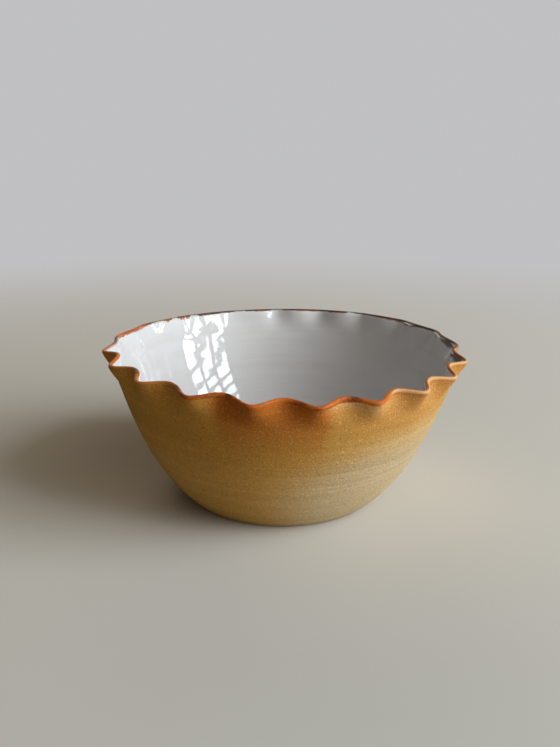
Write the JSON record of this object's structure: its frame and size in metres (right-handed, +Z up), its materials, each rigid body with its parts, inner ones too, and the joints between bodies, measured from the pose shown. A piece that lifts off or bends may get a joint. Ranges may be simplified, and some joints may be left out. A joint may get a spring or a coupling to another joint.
{
  "type": "serving bowl",
  "caption": "Round hand-thrown serving bowl with a fluted rim and a flat foot: bare toasted stoneware outside, glossy white glaze inside, a rust-coloured line of glaze along the lip.",
  "frame": {"origin": "middle of the flat foot, on the surface that the bowl stands on", "axes": "+Z up along the throwing axis, -Y towards the side that the picture shows, +X to the right"},
  "size_m": [0.2462, 0.2452, 0.1082],
  "materials": {
    "bare_stoneware": "bare toasted stoneware, fine speckle, matt",
    "white_glaze": "glossy white glaze",
    "rust_glaze": "thin rust-coloured glaze, satin gloss"
  },
  "bodies": {
    "root": {"clay_body": "bare_stoneware", "glaze_lining": "white_glaze", "rim_glaze_line": "rust_glaze"}
  },
  "joints": []
}
